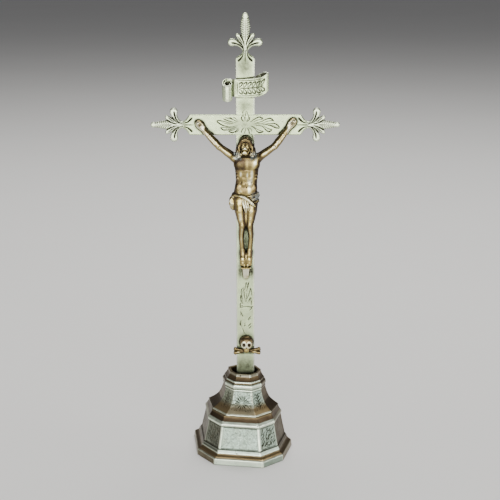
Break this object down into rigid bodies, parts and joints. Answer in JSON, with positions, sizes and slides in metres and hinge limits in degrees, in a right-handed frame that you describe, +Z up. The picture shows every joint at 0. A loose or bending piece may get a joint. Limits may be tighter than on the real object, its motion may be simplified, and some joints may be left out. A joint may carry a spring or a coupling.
{
  "type": "standing crucifix",
  "caption": "Standing metal crucifix: flat cross with leaf finials, cast figure, scroll and skull, set in a socket on a stepped eight-sided hollow base that it can be turned in.",
  "frame": {"origin": "centre of the foot of the base, on the surface it stands on", "axes": "+Z up along the upright, -Y the way the figure faces, +X to the viewer's right"},
  "size_m": [0.1344, 0.0714, 0.3276],
  "materials": {
    "pale_metal": "satin, pale grey worn plating, darker in the engraving",
    "bronze_figure": "brown patinated casting with rubbed bright high spots",
    "base_metal": "cast, worn silvery on the front faces and edges, golden brown on the slopes",
    "fixings": "plain dull metal"
  },
  "bodies": {
    "base": {"base_lower": "base_metal", "base_upper": "base_metal", "tier_rivets": "fixings"},
    "socket": {"socket_plug": "fixings", "socket_washer": "fixings", "socket_nut": "fixings"},
    "cross": {"upright": "pale_metal", "crossbar": "pale_metal", "titulus": "pale_metal", "titulus_pins": "fixings", "corpus": "bronze_figure", "hand_nails": "fixings", "foot_nails": "fixings", "suppedaneum": "bronze_figure", "suppedaneum_pin": "fixings", "skull_and_bones": "bronze_figure", "skull_pin": "fixings"}
  },
  "joints": [
    {"name": "socket_turn", "type": "hinge", "parent": "base", "child": "socket", "pos_m": [0, 0, 0.053], "axis": [0, 0, 1], "continuous": true},
    {"name": "cross_lift", "type": "slide", "parent": "socket", "child": "cross", "axis": [0, 0, 1], "range_m": [0, 0.022]}
  ]
}
